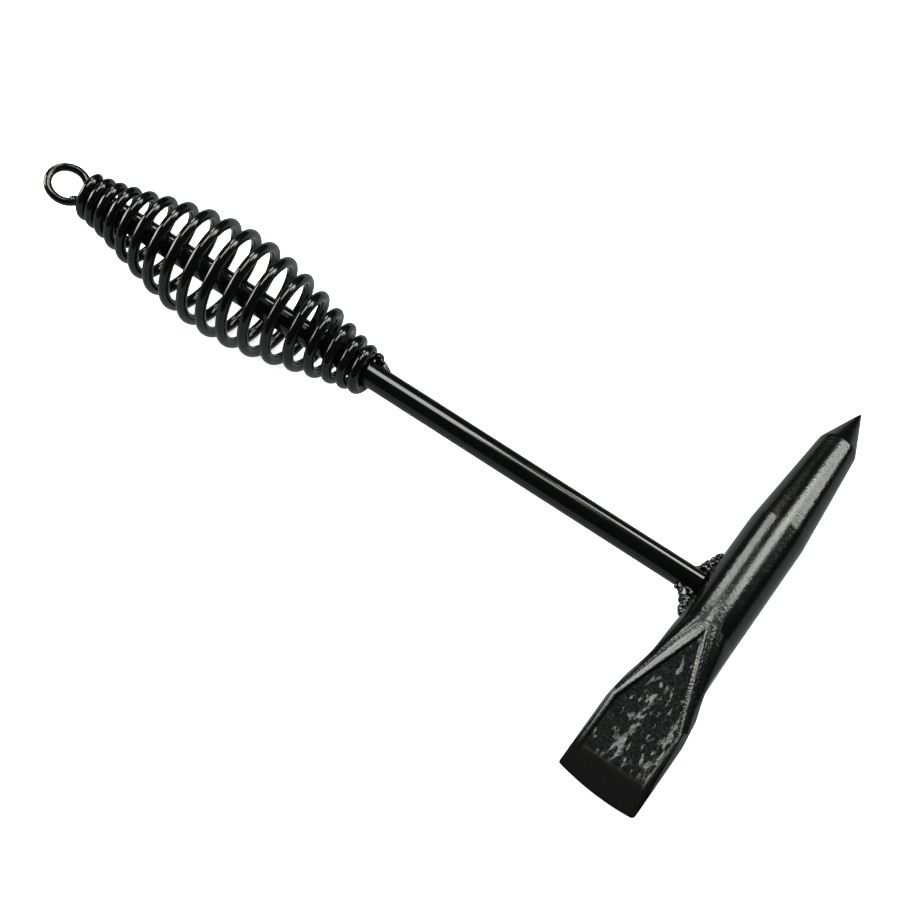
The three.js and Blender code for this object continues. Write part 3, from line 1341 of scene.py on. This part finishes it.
@dataclass
class HangRing:
    """The wire ring that the hammer hangs by."""

    space: HammerSpace
    slot: str = "ring_enamel"
    steps: int = 128
    sides: int = 40
    dent_size: float = 3.5 * MM
    dent_depth: float = 0.12 * MM
    tilt: float = math.radians(15.5)
    centre: Vector = field(init=False)
    wire_radius: float = field(init=False)
    radius: float = field(init=False)

    def __post_init__(self) -> None:
        """Takes the ring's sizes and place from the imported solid."""
        size = self.space.extent(Node.RING)
        lift = math.sin(self.tilt)
        self.centre = size.centre()
        self.wire_radius = (size.half().z - size.half().y * lift) / (1 - lift)
        self.radius = size.half().y - self.wire_radius

    def finish(self) -> None:
        """Bends the ring, gives it its enamel and lays it down."""
        bpy.ops.mesh.primitive_torus_add(
            location=self.centre,
            rotation=(0, self.tilt, 0),
            major_radius=self.radius,
            minor_radius=self.wire_radius,
            major_segments=self.steps,
            minor_segments=self.sides,
        )
        ring = Bench.added("ring")
        Bench.roughen(ring, self.dent_size, self.dent_depth)
        Bench.take(ring)
        bpy.ops.object.shade_smooth()
        enamel = Enamel("ring enamel", roughness=(0.09, 0.16), peel_depth=0.012 * MM)
        self.space.lay_down(ring, enamel.make(), Node.RING, self.slot)


@dataclass(frozen=True)
class Bead:
    """One drop of weld metal."""

    centre: Vector
    radius: float


@dataclass
class Weld:
    """A run of weld beads that have flowed into each other."""

    space: HammerSpace
    node: Node
    beads: Sequence[Bead]
    slot: str = "weld_enamel"
    voxel: float = 0.16 * MM
    lump_size: float = 1.6 * MM
    lump_depth: float = 0.9 * MM

    def finish(self, enamel: bpy.types.Material) -> None:
        """Lays the beads, fuses them, gives them their enamel and puts them in place.

        Args:
            enamel: the finish of the welds.
        """
        drops = []
        for bead in self.beads:
            bpy.ops.mesh.primitive_ico_sphere_add(
                subdivisions=3, radius=bead.radius, location=bead.centre
            )
            drops.append(Bench.added("drop"))
        weld = Bench.join(drops, "weld")
        Bench.fuse(weld, self.voxel, 12)
        Bench.roughen(weld, self.lump_size, self.lump_depth, layers=0)
        Bench.modify(weld, "SMOOTH", factor=0.5, iterations=10)
        self.space.lay_down(weld, enamel, self.node, self.slot)


@dataclass
class Welds:
    """All the welds of the hammer, placed from the pieces that they join."""

    space: HammerSpace
    step: float = 1.0 * MM
    root: float = 2.6 * MM
    toe: float = 1.3 * MM
    grip_bead: float = 1.45 * MM
    grip_toe: float = 0.7 * MM
    grip_lead: float = 5 * MM
    grip_turn: float = math.radians(33)

    def run(self, start: Bead, end: Bead) -> list[Bead]:
        """Beads laid close together, with every other one a little smaller.

        Args:
            start: the first bead.
            end: the last bead.

        Returns:
            The beads.
        """
        count = max(1, round((end.centre - start.centre).length / self.step))
        beads = []
        for index in range(count + 1):
            share = index / count
            swell = 1.0 if index % 2 == 0 else 0.9
            centre = start.centre.lerp(end.centre, share)
            beads.append(Bead(centre, lerp(start.radius, end.radius, share) * swell))
        return beads

    def fillet(self, node: Node, side: int) -> list[Bead]:
        """The beads in the corner between the rod and the head.

        Args:
            node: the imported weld, whose box gives its reach.
            side: 1 for the pick's side and -1 for the chisel's.

        Returns:
            The beads.
        """
        rod = self.space.extent(Node.ROD).half().y
        head = self.space.extent(Node.HEAD).half().z
        size = self.space.extent(node)
        corner = Vector((-head, side * rod, 0))
        reach = max(abs(size.low.y), abs(size.high.y))
        root = Bead(corner + Vector((-self.root / 2, side * self.root / 2, 0)), self.root)
        rod_toe = Bead(Vector((size.low.x + self.toe, side * rod, 0)), self.toe)
        head_toe = Bead(Vector((-head, side * (reach - self.toe), 0)), self.toe)
        return self.run(root, rod_toe) + self.run(root, head_toe)

    def finish(self) -> None:
        """Lays every weld."""
        enamel = Enamel(
            "weld enamel", roughness=(0.07, 0.14), peel_size=2.4 * MM, peel_depth=0.006 * MM
        ).make()
        runs = {
            Node.PICK_WELD: self.fillet(Node.PICK_WELD, 1),
            Node.CHISEL_WELD: self.fillet(Node.CHISEL_WELD, -1),
            Node.GRIP_WELD: self.grip_run(),
            Node.RING_PICK_WELD: self.along(Node.RING_PICK_WELD, Vector((-1, 1, 1))),
            Node.RING_CHISEL_WELD: self.along(Node.RING_CHISEL_WELD, Vector((-1, -1, 1))),
        }
        for node, beads in runs.items():
            Weld(self.space, node, beads).finish(enamel)

    def grip_run(self) -> list[Bead]:
        """The beads from the wire's end round the rod, and then down along it.

        Returns:
            The beads.
        """
        past_wire, under_wire, into_rod = 0.3 * MM, 0.2 * MM, 0.4 * MM
        rod = self.space.extent(Node.ROD).half().y
        end = SpringGrip(self.space).point(1.0)
        crest = Vector((0, math.cos(self.grip_turn), math.sin(self.grip_turn)))
        top = Vector((end.x, 0, 0)) + crest * (end.yz.length - under_wire)
        toe = Vector((end.x + self.grip_lead, 0, 0)) + crest * (rod - into_rod)
        start = Bead(end + Vector((past_wire, 0, 0)), self.grip_bead)
        turn = Bead(top, self.grip_bead)
        return self.run(start, turn) + self.run(turn, Bead(toe, self.grip_toe))

    def along(self, node: Node, start: Vector) -> list[Bead]:
        """A short run of beads across the box of a packed weld.

        Args:
            node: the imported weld.
            start: the corner of the box that it starts from, as a sign along each axis.

        Returns:
            The beads.
        """
        fill, taper = 0.95, 0.85
        size = self.space.extent(node)
        centre, half = size.centre(), size.half()
        radius = min(half) * fill
        leaning = (half - Vector((radius, radius, radius))) * start
        return self.run(Bead(centre + leaning, radius), Bead(centre - leaning, radius * taper))


# ---- the studio ------------------------------------------------------------------------


@dataclass(frozen=True)
class Softbox:
    """A rectangular studio light that faces the hammer.

    The direction is from the hammer's crossing to the light: the azimuth turns from +Y
    towards +X. The width runs level until the spin turns the box about its own aim.
    """

    name: str
    azimuth: float
    elevation: float
    spin: float
    distance: float
    width: float
    height: float
    radiance: float
    colour: Point = (1.0, 0.985, 0.92)

    def hang(self, space: HammerSpace) -> None:
        """Hangs the light.

        Args:
            space: the hammer's frame.
        """
        azimuth, elevation = math.radians(self.azimuth), math.radians(self.elevation)
        level = math.cos(elevation)
        towards = Vector((level * math.sin(azimuth), level * math.cos(azimuth), math.sin(elevation)))
        data = bpy.data.lights.new(self.name, "AREA")
        data.shape = "RECTANGLE"
        data.size = self.width
        data.size_y = self.height
        data.energy = self.radiance * 4 * self.width * self.height
        data.color = self.colour
        facing = towards.to_track_quat("Z", "Y").to_matrix().to_4x4()
        turn = facing @ Matrix.Rotation(math.radians(self.spin), 4, "Z")
        place = Matrix.Translation(towards * self.distance) @ turn
        put(self.name, data).matrix_world = space.matrix @ place


@dataclass(frozen=True)
class Camera:
    """The camera, aimed at a point of the handle.

    The azimuth turns from -Y towards +X, and the roll tips the camera clockwise.
    """

    aim: Point = (-93.84 * MM, -7.43 * MM, 0)
    distance: float = 582 * MM
    azimuth: float = 23.35
    elevation: float = 55.06
    roll: float = 13.23
    lens: float = 77.445

    def place(self, space: HammerSpace) -> None:
        """Places the camera and makes it the scene's.

        Args:
            space: the hammer's frame.
        """
        azimuth, elevation = math.radians(self.azimuth), math.radians(self.elevation)
        roll = math.radians(self.roll)
        level = math.cos(elevation)
        back = Vector((level * math.sin(azimuth), -level * math.cos(azimuth), math.sin(elevation)))
        side = Vector((math.cos(azimuth), math.sin(azimuth), 0))
        right = side * math.cos(roll) + back.cross(side) * math.sin(roll)
        axes = Matrix((right, back.cross(right), back)).transposed()
        place = Matrix.Translation(Vector(self.aim) + back * self.distance) @ axes.to_4x4()
        data = bpy.data.cameras.new("camera")
        data.lens = self.lens
        data.sensor_width = 36
        data.clip_start = 0.01
        camera = put("camera", data)
        camera.matrix_world = space.matrix @ place
        bpy.context.scene.camera = camera


@dataclass
class Studio:
    """The floor, the lights and the camera round the hammer."""

    space: HammerSpace
    floor_size: float = 6.0
    floor_colour: Point = (0.9, 0.9, 0.9)
    floor_glow: float = 0.55
    card_glow: float = 0.42
    card_colour: Point = (0.84, 1.0, 0.92)
    card_drop: float = 1 * MM
    fill: float = 1.0
    boxes: Sequence[Softbox] = (
        Softbox("key box", 9.5, 52, 0, 1.5, 0.56, 0.36, 8.0),
        Softbox("key wing", 24, 36, -51, 1.5, 0.22, 1.1, 7.5),
        Softbox("side box", -46.5, 35.5, 28.5, 1.5, 0.25, 0.62, 7.0),
        Softbox("top box", -55.5, 67.2, -57.6, 1.5, 0.41, 0.81, 8.0),
        Softbox("crown box", -23.8, 71.5, -25, 1.5, 0.23, 0.38, 6.0),
        Softbox("low box", -99, 15, 0, 1.5, 0.7, 0.78, 9.0),
    )

    def floor(self) -> None:
        """Lays the plain pale floor."""
        bpy.ops.mesh.primitive_plane_add(size=self.floor_size, location=(0, 0, 0))
        floor = Bench.added("floor")
        graph = Graph("pale floor")
        shader = graph.add(
            "ShaderNodeBsdfPrincipled",
            {},
            {
                "Base Color": (*self.floor_colour, 1),
                "Roughness": 0.9,
                "Specular IOR Level": 0.0,
                "Emission Color": (1, 1, 1, 1),
                "Emission Strength": self.floor_glow,
            },
        )
        floor.data.materials.append(graph.show(shader.outputs["BSDF"]))
        floor.visible_glossy = False

    def card(self) -> None:
        """Lays a grey card under the floor, which only the enamel mirrors."""
        place = (0, 0, -self.card_drop)
        bpy.ops.mesh.primitive_plane_add(size=self.floor_size, location=place)
        card = Bench.added("grey_card")
        graph = Graph("grey card")
        inputs = {"Color": (*self.card_colour, 1), "Strength": self.card_glow}
        glow = graph.add("ShaderNodeEmission", {}, inputs)
        card.data.materials.append(graph.show(glow.outputs["Emission"]))
        card.visible_camera = False
        card.visible_diffuse = False
        card.visible_shadow = False

    def sky(self) -> None:
        """Sets an even fill that mirrors nowhere in the enamel."""
        world = bpy.data.worlds.new("studio")
        world.use_nodes = True
        background = world.node_tree.nodes["Background"]
        background.inputs["Color"].default_value = (1, 1, 1, 1)
        background.inputs["Strength"].default_value = self.fill
        bpy.context.scene.world = world
        world.cycles_visibility.glossy = False

    def set_up(self) -> None:
        """Sets up the whole studio."""
        Camera().place(self.space)
        self.floor()
        self.card()
        self.sky()
        for box in self.boxes:
            box.hang(self.space)
        bpy.context.scene.view_settings.view_transform = "Standard"


def main() -> None:
    """Builds the hammer and its studio in order."""
    logging.basicConfig(level=logging.INFO, format="%(name)s: %(message)s")
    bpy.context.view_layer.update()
    space = HammerSpace(frame["record"])
    Studio(space).set_up()
    HammerHead(space).finish()
    HandleRod(space).finish()
    SpringGrip(space).finish()
    HangRing(space).finish()
    Welds(space).finish()


if __name__ == "__main__":
    main()
